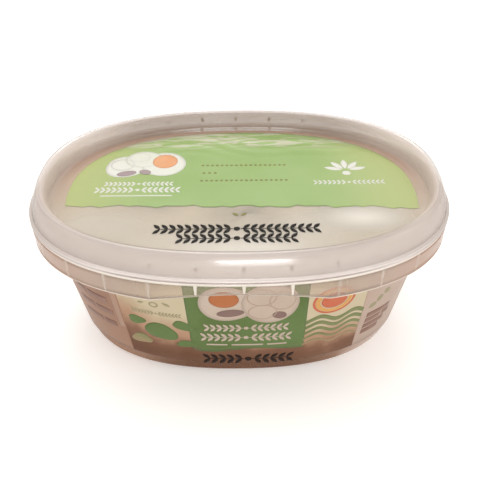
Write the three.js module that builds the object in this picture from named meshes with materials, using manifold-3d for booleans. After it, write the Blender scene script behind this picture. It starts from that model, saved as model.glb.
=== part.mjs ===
// A shut oval tub of knotted mozzarella: a tapered tub with a ribbed skirt under its rim, the sealing film on that
// rim, a lid with a raised crest that snaps over it, the label wrapped round the wall, and the cheese inside.
// Millimetres, +Z up. The origin is the middle of the base. The long way of the oval is X, and -Y is the front.
import * as THREE from "three";
import { mergeVertices } from "three/addons/utils/BufferGeometryUtils.js";
import Module from "manifold-3d";

const wasm = await Module();
wasm.setup();

// Driving dimensions. An inset is measured inwards from the lid's outer edge, all the way round the oval.
const packLength = 160;
const packWidth = 112.8;
const ovalPower = 2.33; // 2 is an ellipse, more is squarer
const ribCount = 28;
const aroundSteps = 4 * ribCount;
const gap = 0.3;

const lidEdgeHeight = 61;
const crestHeight = 70.5;
const crestWidth = 4;
const crestInset = 4.5;
const lidEdgeDepth = 1.2;
const lidLedge = 1.1;
const lidWall = 0.9;
const panelHeight = 63.4;
const panelInset = 8.6;
const panelThickness = 0.9;

const flangeThickness = 1.1;
const skirtInset = 0.3;
const skirtDepth = 8.7;
const skirtWall = 0.9;
const archRise = 4.3; // the skirt is lower at its two long sides, where a thumb lifts the lid
const archHalfWidth = 30;
const ribReach = 3.2;
const ribThickness = 0.8;

const wallTopInset = 5.8;
const wallSlope = 0.159; // inset gained for each millimetre down
const tubWall = 1;
const floorThickness = 1.2;
const cornerRadius = 8;

const labelThickness = 0.4;
const labelTop = 57.5;
const labelBottom = 9.5;
const filmThickness = 0.3;
const filmInset = 2.7;

const flangeTop = lidEdgeHeight - gap;
const flangeUnderside = flangeTop - flangeThickness;
const cornerAngle = Math.atan(wallSlope); // the wall's lean from upright
const crestRadius = crestWidth / 2;

// The oval: |x/a|^power + |y/b|^power = 1, walked in steps of equal length.
function signedPower(value) {
  return Math.sign(value) * Math.abs(value) ** (2 / ovalPower);
}

function ovalPoint(turn, inset) {
  return new THREE.Vector2(
    (packLength / 2 - inset) * signedPower(Math.cos(turn)),
    (packWidth / 2 - inset) * signedPower(Math.sin(turn)),
  );
}

function evenTurns(count) {
  const fine = 4000;
  const lengths = [0];
  for (let k = 1; k <= fine; k++) {
    const before = ovalPoint((2 * Math.PI * (k - 1)) / fine, 0);
    const after = ovalPoint((2 * Math.PI * k) / fine, 0);
    lengths.push(lengths[k - 1] + after.distanceTo(before));
  }
  const turns = [];
  for (let step = 0, k = 0; step < count; step++) {
    const wanted = (lengths[fine] * step) / count;
    while (lengths[k + 1] < wanted) k++;
    const part = (wanted - lengths[k]) / (lengths[k + 1] - lengths[k]);
    turns.push((2 * Math.PI * (k + part)) / fine);
  }
  return turns;
}

const turns = evenTurns(aroundSteps);

// One oval ring. Its height is a number, or a function of x along the tub.
function ring(inset, height) {
  return turns.map((turn) => {
    const point = ovalPoint(turn, inset);
    const z = typeof height === "function" ? height(point.x) : height;
    return new THREE.Vector3(point.x, point.y, z);
  });
}

// Insets and heights round an arc from one angle to another; 0 points outwards and a quarter turn points up.
function arcRings(centreInset, centreHeight, radius, fromAngle, toAngle, steps) {
  return Array.from({ length: steps + 1 }, (_, k) => {
    const angle = fromAngle + ((toAngle - fromAngle) * k) / steps;
    return ring(centreInset - radius * Math.cos(angle), centreHeight + radius * Math.sin(angle));
  });
}

// A closed skin over rings that run out along the underside, up, and back in: poleHeights are its two middles.
function skinOver(rings, poleHeights) {
  const positions = rings.flat().flatMap((point) => point.toArray());
  const faces = [];
  const at = (row, step) => row * aroundSteps + (step % aroundSteps);
  const joinedRows = poleHeights ? rings.length - 1 : rings.length;
  for (let row = 0; row < joinedRows; row++) {
    const next = (row + 1) % rings.length;
    for (let step = 0; step < aroundSteps; step++) {
      faces.push(at(row, step), at(row, step + 1), at(next, step + 1));
      faces.push(at(row, step), at(next, step + 1), at(next, step));
    }
  }
  if (poleHeights) {
    const bottom = positions.length / 3;
    positions.push(0, 0, poleHeights[0], 0, 0, poleHeights[1]);
    for (let step = 0; step < aroundSteps; step++) {
      faces.push(bottom, at(0, step + 1), at(0, step));
      faces.push(at(rings.length - 1, step), at(rings.length - 1, step + 1), bottom + 1);
    }
  }
  const geometry = new THREE.BufferGeometry();
  geometry.setAttribute("position", new THREE.Float32BufferAttribute(positions, 3));
  geometry.setIndex(faces);
  return geometry;
}

function solidFrom(geometry) {
  const bare = geometry.clone();
  bare.deleteAttribute("normal");
  bare.deleteAttribute("uv");
  const merged = mergeVertices(bare);
  return new wasm.Manifold(
    new wasm.Mesh({
      numProp: 3,
      vertProperties: merged.attributes.position.array,
      triVerts: new Uint32Array(merged.index.array),
    }),
  );
}

function geometryFrom(solid) {
  const mesh = solid.getMesh();
  const geometry = new THREE.BufferGeometry();
  geometry.setAttribute("position", new THREE.Float32BufferAttribute(mesh.vertProperties, 3));
  geometry.setIndex(Array.from(mesh.triVerts));
  return geometry;
}

function piece(name, geometry, color, roughness) {
  geometry.computeVertexNormals();
  const material = new THREE.MeshStandardMaterial({ color, roughness, metalness: 0 });
  const mesh = new THREE.Mesh(geometry, material);
  mesh.name = name;
  return mesh;
}

// The tub's leaning wall: its outer inset at a height.
function wallInset(height) {
  return wallTopInset + wallSlope * (flangeUnderside - height);
}

// Tub: base, rounded corner, wall, flange and hanging skirt, then back down the inside.
function tubRings() {
  const cornerInset = wallInset(cornerRadius) + cornerRadius / Math.cos(cornerAngle);
  const skirtLowEdge = (x) => {
    const alongArch = x / archHalfWidth;
    return flangeTop - skirtDepth + archRise * Math.max(0, 1 - alongArch * alongArch);
  };
  const innerRadius = cornerRadius - tubWall;
  const innerCornerHeight = floorThickness + innerRadius;
  const innerCornerInset = wallInset(innerCornerHeight) + tubWall + innerRadius / Math.cos(cornerAngle);
  const standingInset = cornerInset + 3;
  const skirtInnerInset = skirtInset + skirtWall;
  return [
    ring(standingInset, 0),
    ...arcRings(cornerInset, cornerRadius, cornerRadius, -Math.PI / 2, -cornerAngle, 4),
    ring(wallTopInset, flangeUnderside),
    ring(skirtInnerInset, flangeUnderside),
    ring(skirtInnerInset, (x) => skirtLowEdge(x)),
    ring(skirtInset, (x) => skirtLowEdge(x)),
    ring(skirtInset, flangeTop - 0.5),
    ring(skirtInset + 0.5, flangeTop),
    ring(wallTopInset + tubWall - 0.3, flangeTop),
    ring(wallTopInset + tubWall, flangeTop - 0.4),
    ...arcRings(innerCornerInset, innerCornerHeight, innerRadius, -cornerAngle, -Math.PI / 2, 3),
  ];
}

// A rib: a thin gusset under the flange, inside the skirt, narrower towards the skirt's lower edge.
function ribGeometry(index) {
  const outerInset = skirtInset + skirtWall / 2;
  const turn = turns[(index * aroundSteps) / ribCount];
  const foot = ovalPoint(turn, outerInset);
  const ahead = ovalPoint(turn + 0.01, outerInset);
  const behind = ovalPoint(turn - 0.01, outerInset);
  const alongAngle = Math.atan2(ahead.y - behind.y, ahead.x - behind.x);
  const archPart = Math.max(0, 1 - (foot.x / archHalfWidth) ** 2);
  const depth = skirtDepth - archRise * archPart - flangeThickness / 2 - 1;
  const outline = new THREE.Shape([
    new THREE.Vector2(0, 0),
    new THREE.Vector2(0, -depth),
    new THREE.Vector2(0.9, -depth),
    new THREE.Vector2(ribReach, 0),
  ]);
  const geometry = new THREE.ExtrudeGeometry(outline, { depth: ribThickness, bevelEnabled: false });
  geometry.translate(0, 0, -ribThickness / 2);
  // The outline's x becomes the way in, its y stays up, and its depth lies along the oval.
  const inwards = new THREE.Vector3(-Math.sin(alongAngle), Math.cos(alongAngle), 0);
  const up = new THREE.Vector3(0, 0, 1);
  const along = new THREE.Vector3().crossVectors(inwards, up);
  geometry.applyMatrix4(new THREE.Matrix4().makeBasis(inwards, up, along));
  geometry.translate(foot.x, foot.y, flangeTop - flangeThickness / 2);
  return geometry;
}

function tubGeometry() {
  let tub = solidFrom(skinOver(tubRings(), [0, floorThickness]));
  for (let index = 0; index < ribCount; index++) tub = tub.add(solidFrom(ribGeometry(index)));
  return geometryFrom(tub);
}

// Lid: the panel's underside, the hollow crest, the edge, and back over the outside to the sunken panel.
function lidRings() {
  const crestMiddle = crestHeight - crestRadius;
  const hollowRadius = crestRadius - lidWall;
  const edgeTop = lidEdgeHeight + lidEdgeDepth;
  const panelUnderside = panelHeight - panelThickness;
  return [
    ring(panelInset - 0.2, panelUnderside),
    ring(panelInset - lidWall, panelUnderside + 0.6),
    ...arcRings(crestInset, crestMiddle, hollowRadius, Math.PI, 0, 4),
    ring(lidLedge + lidWall, edgeTop),
    ring(lidLedge + lidWall, lidEdgeHeight),
    ring(0.25, lidEdgeHeight),
    ring(0, lidEdgeHeight + 0.25),
    ring(0, edgeTop - 0.25),
    ring(0.25, edgeTop),
    ring(lidLedge, edgeTop),
    ...arcRings(crestInset, crestMiddle, crestRadius, 0, Math.PI, 6),
    ring(panelInset - 0.9, panelHeight + 0.9),
    ring(panelInset, panelHeight),
  ];
}

function lidGeometry() {
  return skinOver(lidRings(), [panelHeight - panelThickness, panelHeight]);
}

// Sealing film: a thin plate on the flange, just under the lid's panel.
function filmGeometry() {
  const bottom = flangeTop + gap;
  const edgeRings = [ring(filmInset, bottom), ring(filmInset, bottom + filmThickness)];
  return skinOver(edgeRings, [bottom, bottom + filmThickness]);
}

// Label: a thin band just off the leaning wall.
function labelGeometry() {
  const innerInset = (height) => wallInset(height) - gap;
  const outerInset = (height) => innerInset(height) - labelThickness;
  return skinOver([
    ring(innerInset(labelBottom), labelBottom),
    ring(outerInset(labelBottom), labelBottom),
    ring(outerInset(labelTop), labelTop),
    ring(innerInset(labelTop), labelTop),
  ]);
}

// Cheese: plump knots, packed in two layers and fused where they press together. A knot is a fat bar, and those of
// the top layer have a second strand wrapped over it. Places are in millimetres, and turns about Z in degrees.
const knotHalfLength = 22.5;
const knotHalfWidth = 17;
const knotHalfHeight = 17;
const strandHalfWidth = 9.5;
const strandOverlap = 1.4;
const strandSlant = -24;

const lowerKnots = [
  { x: -39, y: 4, z: 19.5, turn: 80 },
  { x: -12, y: -19, z: 19.5, turn: 10 },
  { x: -10, y: 19, z: 19.5, turn: -12 },
  { x: 24, y: -19, z: 19.5, turn: -14 },
  { x: 25, y: 19, z: 19.5, turn: 16 },
  { x: 44, y: 0, z: 19.5, turn: 92 },
];
const upperKnots = [
  { x: -31, y: -3, z: 41.5, turn: 35 },
  { x: 2, y: -18, z: 41.5, turn: -20 },
  { x: 9, y: 18, z: 41.5, turn: 12 },
  { x: 40, y: -12, z: 41.5, turn: 40 },
];

function lobe({ x, y, z, turn }, halfLength, halfWidth, halfHeight, slant = 0) {
  const geometry = new THREE.SphereGeometry(1, 8, 6);
  geometry.rotateX(Math.PI / 2);
  geometry.scale(halfLength, halfWidth, halfHeight);
  geometry.rotateZ(THREE.MathUtils.degToRad(turn + slant));
  geometry.translate(x, y, z);
  return solidFrom(geometry);
}

function cheeseGeometry() {
  const bars = [...lowerKnots, ...upperKnots].map((place) =>
    lobe(place, knotHalfLength, knotHalfWidth, knotHalfHeight),
  );
  const strands = upperKnots.map((place) =>
    lobe(
      place,
      strandHalfWidth,
      knotHalfWidth + strandOverlap,
      knotHalfHeight + strandOverlap,
      strandSlant,
    ),
  );
  return geometryFrom([...bars, ...strands].reduce((heap, next) => heap.add(next)));
}

const pack = new THREE.Group();
pack.add(piece("tub", tubGeometry(), 0xcdbfb4, 0.4));
pack.add(piece("label", labelGeometry(), 0x79895f, 0.5));
pack.add(piece("cheese_knots", cheeseGeometry(), 0xf1ead8, 0.35));
pack.add(piece("seal_film", filmGeometry(), 0xb2c78b, 0.35));
pack.add(piece("lid", lidGeometry(), 0xd5cbc4, 0.35));

export default pack;
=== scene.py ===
import math

import bpy
import numpy as np
from mathutils import Matrix, Vector


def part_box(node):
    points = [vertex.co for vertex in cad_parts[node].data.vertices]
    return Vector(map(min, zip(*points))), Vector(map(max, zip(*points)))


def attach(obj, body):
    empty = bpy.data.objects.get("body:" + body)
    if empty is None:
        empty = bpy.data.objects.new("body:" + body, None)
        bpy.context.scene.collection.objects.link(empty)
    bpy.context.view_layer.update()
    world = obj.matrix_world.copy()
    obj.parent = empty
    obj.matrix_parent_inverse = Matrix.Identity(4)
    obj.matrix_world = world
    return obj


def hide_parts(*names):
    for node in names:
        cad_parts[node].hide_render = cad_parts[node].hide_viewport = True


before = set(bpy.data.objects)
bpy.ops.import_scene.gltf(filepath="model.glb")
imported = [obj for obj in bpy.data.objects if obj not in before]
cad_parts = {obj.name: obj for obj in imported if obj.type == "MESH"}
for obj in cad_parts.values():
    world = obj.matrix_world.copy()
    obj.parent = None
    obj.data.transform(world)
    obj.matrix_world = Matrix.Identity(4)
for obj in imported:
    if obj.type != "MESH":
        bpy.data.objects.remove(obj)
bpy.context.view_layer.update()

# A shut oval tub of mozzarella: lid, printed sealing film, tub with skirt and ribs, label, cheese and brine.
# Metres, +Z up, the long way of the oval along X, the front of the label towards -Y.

mm = 0.001
lidLow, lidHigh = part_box("lid")
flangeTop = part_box("tub")[1][2]
labelLow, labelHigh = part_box("label")
filmLow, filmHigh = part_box("seal_film")
body = "root"

oval = {
    "halfLength": lidHigh[0],
    "halfWidth": lidHigh[1],
    "power": 2.33,             # 2 is an ellipse, more is squarer
    "ribs": 28,
    "stepsPerRib": 12,
    "chords": 4000,
}
print("frame read")


# Oval: |x/a|^power + |y/b|^power = 1. An inset is taken off both half sizes.

def signedPower(value):
    # sign(v) |v|^(2 / power)
    return np.sign(value) * np.abs(value) ** (2 / oval["power"])


def ovalXY(turn, inset):
    # x = (a - inset) S(cos t), y = (b - inset) S(sin t)
    x = (oval["halfLength"] - inset) * signedPower(np.cos(turn))
    y = (oval["halfWidth"] - inset) * signedPower(np.sin(turn))
    return x, y


def ovalReach(x, y, inset):
    # |x/a|^power + |y/b|^power: 0 on the axis, 1 on the oval
    along = np.abs(x / (oval["halfLength"] - inset)) ** oval["power"]
    return along + np.abs(y / (oval["halfWidth"] - inset)) ** oval["power"]


def walkedOval(inset):
    # fine turns from the front to the front again, and the sum of the chords up to each
    fine = np.linspace(-math.pi / 2, 1.5 * math.pi, oval["chords"] + 1)
    x, y = ovalXY(fine, inset)
    return fine, np.concatenate([[0], np.cumsum(np.hypot(np.diff(x), np.diff(y)))])


def turnsAlong(share, inset):
    # the oval's turn at a share of the way round, which is 0 at the front and grows towards +X
    fine, walked = walkedOval(inset)
    return np.interp(np.mod(share, 1) * walked[-1], walked, fine)


def perimeterAt(inset):
    # the sum of all the chords
    return walkedOval(inset)[1][-1]


def ramp(value, start, end):
    # 0 at the start, 1 at the end and straight between; the start may be the greater
    return np.clip((value - start) / (end - start), 0, 1)


aroundCount = oval["ribs"] * oval["stepsPerRib"]
aroundShares = np.arange(aroundCount) / aroundCount
aroundTurns = turnsAlong(aroundShares, 0)


# Profiles: rows of (inset, height, and what the finish reads there), carried round the oval.

def roundedProfile(corners, steps=5):
    # corner P with reach r becomes (1-t)^2 S + 2t(1-t) P + t^2 E, where S and E lie r along its two edges;
    # a reach is never more than nearly half of either edge
    corners = np.array(corners, float)
    points, reach = np.delete(corners, 2, axis=1), corners[1:-1, 2]
    before, here, after = points[:-2], points[1:-1], points[2:]
    toBefore = np.linalg.norm((before - here)[:, :2], axis=1)
    toAfter = np.linalg.norm((after - here)[:, :2], axis=1)
    reach = np.minimum(reach, 0.48 * np.minimum(toBefore, toAfter))
    start = here + (before - here) * (reach / toBefore)[:, None]
    end = here + (after - here) * (reach / toAfter)[:, None]
    t = np.linspace(0, 1, steps + 1)[None, :, None]
    bends = (1 - t) ** 2 * start[:, None] + 2 * t * (1 - t) * here[:, None] + t**2 * end[:, None]
    return np.vstack([points[:1], bends.reshape(-1, points.shape[1]), points[-1:]])


def refined(profile, longest):
    # straight runs longer than the given step get even rows between their ends
    rows = [profile[:1]]
    for a, b in zip(profile[:-1], profile[1:]):
        count = max(1, math.ceil(np.linalg.norm((b - a)[:2]) / longest))
        rows.append(a + (b - a) * (np.arange(1, count + 1) / count)[:, None])
    return np.vstack(rows)


def sweep(profile, turns=aroundTurns):
    # point(row, step) = the oval at that row's inset, lifted to that row's height
    x, y = ovalXY(turns[None, :], profile[:, :1])
    return np.stack([x, y, np.broadcast_to(profile[:, 1:2], x.shape)], -1)


def discRows(ring, shares):
    # rows of a disc: the ring drawn in towards the axis by each share, 1 at the ring
    shares = np.asarray(shares)[:, None, None]
    return ring[None] * np.concatenate([shares, shares, np.ones_like(shares)], -1)


def withDiscs(grid, shares):
    # a disc's rows before the first row and after the last
    return np.concatenate([discRows(grid[0], shares), grid, discRows(grid[-1], shares[::-1])])


def withDiscValues(profile, shares):
    # the profile's first and last rows stand for the rows of the two discs
    count = len(shares)
    return np.concatenate([np.repeat(profile[:1], count, 0), profile, np.repeat(profile[-1:], count, 0)])


# Meshes

def gridFaces(rows, steps, around, offset=0):
    # quads between neighbouring rows; around joins the last step to the first
    r, s = np.meshgrid(np.arange(rows - 1), np.arange(steps if around else steps - 1), indexing="ij")
    here, ahead = r * steps + s, r * steps + (s + 1) % steps
    return np.stack([here, ahead, ahead + steps, here + steps], -1).reshape(-1, 4) + offset


def cappedPoints(grid):
    # the grid's points, then the middle of its first row and of its last
    return np.vstack([grid.reshape(-1, 3), grid[0].mean(0), grid[-1].mean(0)])


def cappedFaces(rows, steps, offset=0):
    # quads of a grid that goes all round, and triangles from its first and last rows to those two middles
    ring = np.arange(steps)
    ahead = (ring + 1) % steps
    foot, last = offset + rows * steps, offset + (rows - 1) * steps
    triangles = np.vstack([
        np.stack([np.full(steps, foot), offset + ahead, offset + ring], -1),
        np.stack([last + ring, last + ahead, np.full(steps, foot + 1)], -1),
    ])
    return gridFaces(rows, steps, True, offset), triangles


def fillMesh(name, points, quads, triangles=np.zeros((0, 3), int)):
    # arrays go straight into a new mesh, smooth shaded
    mesh = bpy.data.meshes.new(name)
    mesh.vertices.add(len(points))
    mesh.vertices.foreach_set("co", np.ascontiguousarray(points, dtype=np.float32).ravel())
    corners = np.concatenate([quads.ravel(), triangles.ravel()]).astype(np.int32)
    sizes = np.concatenate([np.full(len(quads), 4), np.full(len(triangles), 3)])
    mesh.loops.add(len(corners))
    mesh.loops.foreach_set("vertex_index", corners)
    mesh.polygons.add(len(sizes))
    mesh.polygons.foreach_set("loop_start", np.concatenate([[0], np.cumsum(sizes)[:-1]]).astype(np.int32))
    mesh.polygons.foreach_set("use_smooth", np.ones(len(sizes), bool))
    mesh.update(calc_edges=True)
    mesh.validate()
    piece = bpy.data.objects.new(name, mesh)
    bpy.context.scene.collection.objects.link(piece)
    return piece


def setValues(piece, key, values):
    # one number for each point, kept in the mesh under a name that the finish reads
    attribute = piece.data.attributes.new(key, "FLOAT", "POINT")
    attribute.data.foreach_set("value", np.ascontiguousarray(values, dtype=np.float32).ravel())


def cappedSkin(name, grid, **values):
    # a grid closed at both ends, with values given for each of its rows or for each of its points
    rows, steps = grid.shape[:2]
    piece = fillMesh(name, cappedPoints(grid), *cappedFaces(rows, steps))
    for key, given in values.items():
        spread = np.broadcast_to(np.reshape(given, (rows, -1)), (rows, steps))
        setValues(piece, key, np.append(spread.ravel(), [spread[0].mean(), spread[-1].mean()]))
    return piece


def addModifier(piece, name, kind, **settings):
    modifier = piece.modifiers.new(name, kind)
    for key, value in settings.items():
        setattr(modifier, key, value)


def flatten(piece):
    # the modifiers are applied, so that the mesh itself holds the final shape
    graph = bpy.context.evaluated_depsgraph_get()
    mesh = bpy.data.meshes.new_from_object(piece.evaluated_get(graph))
    piece.modifiers.clear()
    piece.data = mesh


def finishPiece(piece, slotName, finish, *nodes):
    piece.data.materials.clear()
    piece.data.materials.append(finish)
    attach(piece, body)
    if nodes:
        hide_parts(*nodes)
    print("made", piece.name, len(piece.data.polygons), "faces")
    return piece


# Materials

def colour(red, green, blue):
    # an sRGB colour of 0 to 255 as the linear values that shaders take
    share = np.array([red, green, blue]) / 255
    linear = np.where(share <= 0.04045, share / 12.92, ((share + 0.055) / 1.055) ** 2.4)
    return (*linear.tolist(), 1.0)


def feed(tree, socket, value):
    # a link from another socket, or a plain value
    if isinstance(value, bpy.types.NodeSocket):
        tree.links.new(value, socket)
    else:
        socket.default_value = value


def feedInputs(tree, node, **values):
    for key, value in values.items():
        feed(tree, node.inputs[key.replace("_", " ")], value)


def addNode(tree, kind, **values):
    # names that the node itself has are its settings, and the others are its inputs
    node = tree.nodes.new(kind)
    for key, value in values.items():
        if hasattr(node, key):
            setattr(node, key, value)
        else:
            feedInputs(tree, node, **{key: value})
    return node


def objectPlace(tree):
    return tree.nodes.new("ShaderNodeTexCoord").outputs["Object"]


def partsOf(tree, place):
    return addNode(tree, "ShaderNodeSeparateXYZ", Vector=place).outputs


def attributeValue(tree, name):
    return addNode(tree, "ShaderNodeAttribute", attribute_name=name).outputs["Fac"]


def mixColours(tree, share, first, second):
    # first at 0, second at 1; each may be a socket or a colour
    mix = addNode(tree, "ShaderNodeMix", data_type="RGBA")
    for index, value in ((0, share), (6, first), (7, second)):
        feed(tree, mix.inputs[index], value)
    return mix.outputs[2]


def mapRange(tree, value, fromLow, fromHigh, toLow=0.0, toHigh=1.0, smooth=True):
    node = addNode(tree, "ShaderNodeMapRange", interpolation_type="SMOOTHSTEP" if smooth else "LINEAR")
    feedInputs(tree, node, Value=value, From_Min=fromLow, From_Max=fromHigh, To_Min=toLow, To_Max=toHigh)
    return node.outputs["Result"]


def arithmetic(tree, operation, first, second=0.0):
    node = addNode(tree, "ShaderNodeMath", operation=operation)
    feed(tree, node.inputs[0], first)
    feed(tree, node.inputs[1], second)
    return node.outputs[0]


def newGroup(name, inputs, outputs):
    # the group, the sockets that bring its inputs in, and the node that takes its outputs
    group = bpy.data.node_groups.new(name, "ShaderNodeTree")
    for socketName, kind, value in inputs:
        socket = group.interface.new_socket(name=socketName, in_out="INPUT", socket_type=kind)
        socket.default_value = value
    for socketName, kind in outputs:
        group.interface.new_socket(name=socketName, in_out="OUTPUT", socket_type=kind)
    return group, group.nodes.new("NodeGroupInput").outputs, group.nodes.new("NodeGroupOutput")


def makeSurfaceGrain():
    # fine moulding grain and slow waviness: a mask of 0 to 1, and a normal bumped by both
    group, given, result = newGroup(
        "surfaceGrain",
        [("Grain Size", "NodeSocketFloat", 900.0), ("Wave Size", "NodeSocketFloat", 60.0),
         ("Grain Depth", "NodeSocketFloat", 0.02 * mm), ("Wave Depth", "NodeSocketFloat", 0.2 * mm)],
        [("Mask", "NodeSocketFloat"), ("Normal", "NodeSocketVector")],
    )
    place = objectPlace(group)
    grain = addNode(group, "ShaderNodeTexNoise", Vector=place, Scale=given["Grain Size"], Detail=2.0)
    waves = addNode(group, "ShaderNodeTexNoise", Vector=place, Scale=given["Wave Size"], Detail=2.0)
    coarse = addNode(group, "ShaderNodeBump", Distance=given["Wave Depth"], Height=waves.outputs["Fac"])
    fine = addNode(group, "ShaderNodeBump", Distance=given["Grain Depth"], Height=grain.outputs["Fac"],
                   Normal=coarse.outputs["Normal"])
    feedInputs(group, result, Mask=waves.outputs["Fac"], Normal=fine.outputs["Normal"])
    return group


def makeInkDensity():
    # ink laid a little unevenly: its colour drifts to its thin colour in slow patches and fine specks
    group, given, result = newGroup(
        "inkDensity",
        [("Ink", "NodeSocketColor", (0.5, 0.5, 0.5, 1)), ("Thin Ink", "NodeSocketColor", (0.6, 0.6, 0.6, 1)),
         ("Patch Size", "NodeSocketFloat", 45.0), ("Amount", "NodeSocketFloat", 0.5)],
        [("Colour", "NodeSocketColor"), ("Mask", "NodeSocketFloat")],
    )
    place = objectPlace(group)
    patches = addNode(group, "ShaderNodeTexNoise", Vector=place, Scale=given["Patch Size"], Detail=3.0)
    specks = addNode(group, "ShaderNodeTexNoise", Vector=place, Scale=1400.0, Detail=1.0)
    slow = mapRange(group, patches.outputs["Fac"], 0.32, 0.68)
    quick = mapRange(group, specks.outputs["Fac"], 0.3, 0.7, 0.0, 0.35)
    share = arithmetic(group, "MULTIPLY", arithmetic(group, "ADD", slow, quick), given["Amount"])
    feedInputs(group, result, Colour=mixColours(group, share, given["Ink"], given["Thin Ink"]), Mask=share)
    return group


surfaceGrain = makeSurfaceGrain()
inkDensity = makeInkDensity()


def newMaterial(name, roughness, **values):
    # a Principled material; the values go straight on its own sockets
    finish = bpy.data.materials.new(name)
    finish.use_nodes = True
    shader = finish.node_tree.nodes["Principled BSDF"]
    feedInputs(finish.node_tree, shader, Roughness=roughness, **values)
    return finish, finish.node_tree, shader


def addGrain(tree, shader, grainDepth, waveDepth, grainSize=900.0):
    # bumps the shader's normal, and gives the slow waves as a mask
    grain = addNode(tree, "ShaderNodeGroup", node_tree=surfaceGrain, Grain_Size=grainSize,
                    Grain_Depth=grainDepth, Wave_Depth=waveDepth)
    feedInputs(tree, shader, Normal=grain.outputs["Normal"])
    return grain.outputs["Mask"]


def inkColour(tree, ink, thinInk, amount=0.5, patchSize=45.0):
    return addNode(tree, "ShaderNodeGroup", node_tree=inkDensity, Ink=colour(*ink), Thin_Ink=colour(*thinInk),
                   Amount=amount, Patch_Size=patchSize).outputs["Colour"]


plasticSteps = {
    "mattPale": (0.12, 0.4),   # between these values of pale the roughness falls from matt to smooth
    "glossPale": (0.02, 0.12), # and between these the gloss comes in
    "cloudMask": (0.3, 0.7),
    "mostHidden": 0.95,
}


def makePlastic(name, look):
    # milky plastic. The mesh's milk is how much it hides and its pale is how white it is, which some rows
    # raise for painted highlights and lower for painted shade; where pale is low, it is matt and has no
    # gloss. Towards the ends of the oval its colours change to the warm ones, and its milk is multiplied by
    # endHaze.
    s = plasticSteps
    finish, tree, shader = newMaterial(name, look["roughness"], IOR=1.49)
    mask = addGrain(tree, shader, look["grainDepth"], look["waveDepth"])
    milk, pale = attributeValue(tree, "milk"), attributeValue(tree, "pale")
    outwards = arithmetic(tree, "ABSOLUTE", partsOf(tree, objectPlace(tree))["X"])
    endways = mapRange(tree, outwards, look["warmFrom"], look["warmTo"])
    clear = mixColours(tree, endways, look["clearColour"], look["warmColour"])
    white = mixColours(tree, endways, look["paleColour"], look["paleWarmColour"])
    cloudy = mapRange(tree, mask, *s["cloudMask"], 1 - look["cloud"], 1 + look["cloud"])
    hazy = mapRange(tree, outwards, look["hazeFrom"], look["hazeTo"], 1.0, look["endHaze"])
    hidden = arithmetic(tree, "MULTIPLY", milk, arithmetic(tree, "MULTIPLY", cloudy, hazy))
    feedInputs(
        tree, shader,
        Base_Color=mixColours(tree, pale, clear, white),
        Roughness=mapRange(tree, pale, *s["mattPale"], look["mattRoughness"], look["roughness"]),
        Specular_IOR_Level=mapRange(tree, pale, *s["glossPale"], 0.0, look["gloss"]),
        Alpha=arithmetic(tree, "MINIMUM", hidden, s["mostHidden"]),
    )
    return finish


# Small blocks round the oval

def aroundBlocks(name, share, inset, corners, bevel):
    # one block at each share of the way round. A corner is (inwards, across, height), where the height may be
    # an array; the four corners go round the block's one side and again round its other.
    x, y = ovalXY(turnsAlong(share, inset), inset)
    nearX, nearY = ovalXY(turnsAlong(share + 0.001, inset), inset)
    along = np.stack([nearX - x, nearY - y], -1)
    along /= np.linalg.norm(along, axis=1, keepdims=True)
    inwards = np.stack([-along[:, 1], along[:, 0]], -1)
    foot = np.stack([x, y], -1)
    points = []
    for reach, halfWidth, height in corners:
        for side in (-1, 1):
            flat = foot + inwards * reach + along * (side * halfWidth)
            points.append(np.column_stack([flat, height + 0 * x]))
    faces = np.array([[0, 2, 4, 6], [7, 5, 3, 1], [0, 1, 3, 2], [2, 3, 5, 4], [4, 5, 7, 6], [6, 7, 1, 0]])
    quads = (faces[None] + 8 * np.arange(len(share))[:, None, None]).reshape(-1, 4)
    blocks = fillMesh(name, np.stack(points, 1).reshape(-1, 3), quads)
    addModifier(blocks, "softEdges", "BEVEL", width=bevel, segments=2)
    addModifier(blocks, "evenNormals", "WEIGHTED_NORMAL")
    flatten(blocks)
    return blocks


def finishBlocks(blocks, slotName, finish, look):
    # the blocks hide less and less between two distances from the middle of the oval's long way
    places = np.zeros(3 * len(blocks.data.vertices), np.float32)
    blocks.data.vertices.foreach_get("co", places)
    fade = np.maximum(ramp(np.abs(places[::3]), look["fadeTo"], look["fadeFrom"]), look["leastFade"])
    setValues(blocks, "milk", look["milk"] * fade)
    setValues(blocks, "pale", np.full(len(fade), look["pale"]))
    return finishPiece(blocks, slotName, finish)


# Lid

lidShape = {
    "wall": 0.9 * mm,
    "edgeDepth": 1.2 * mm,
    "seat": 0.28 * mm,         # the edge comes down this much nearer to the tub's flange
    "ledge": 1.1 * mm,
    "lowShoulder": (1.8 * mm, 5 * mm),       # inset, and how far under the crest's top
    "highShoulder": (2.9 * mm, 2.1 * mm),
    "ridgeInset": 4.4 * mm,
    "innerEdge": (5.7 * mm, 0.3 * mm),
    "innerShoulder": (6.7 * mm, 1.3 * mm),
    "panelInset": 8.6 * mm,
    "panelSunk": 7.1 * mm,
    "longestRun": 1.3 * mm,
    "panelMilk": 0.02,
    "cornerMilk": 0.14,
    "wallMilk": 0.42,
    "crestMilk": 0.5,
    "lineMilk": 0.95,
    "betweenMilk": 0.55,       # between the edge's two lines
}
# lidFade changes painted light: towards the ends the edge's painted shade band gives way to one white band,
# and on the front right the ridge's painted highlight is dimmed
lidFade = {
    "edgeFrom": 34 * mm,
    "edgeTo": 54 * mm,         # the edge's two lines are one from here to the end
    "edgeMilk": 0.75,
    "edgePale": 1,
    "ridgeFrom": 12 * mm,      # the crest's ridge is less marked in front, on the right
    "ridgeTo": 40 * mm,
    "ridgeHalf": 15 * mm,
    "ridgeMilk": 0.45,
    "ridgePale": 0.62,
}
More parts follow.
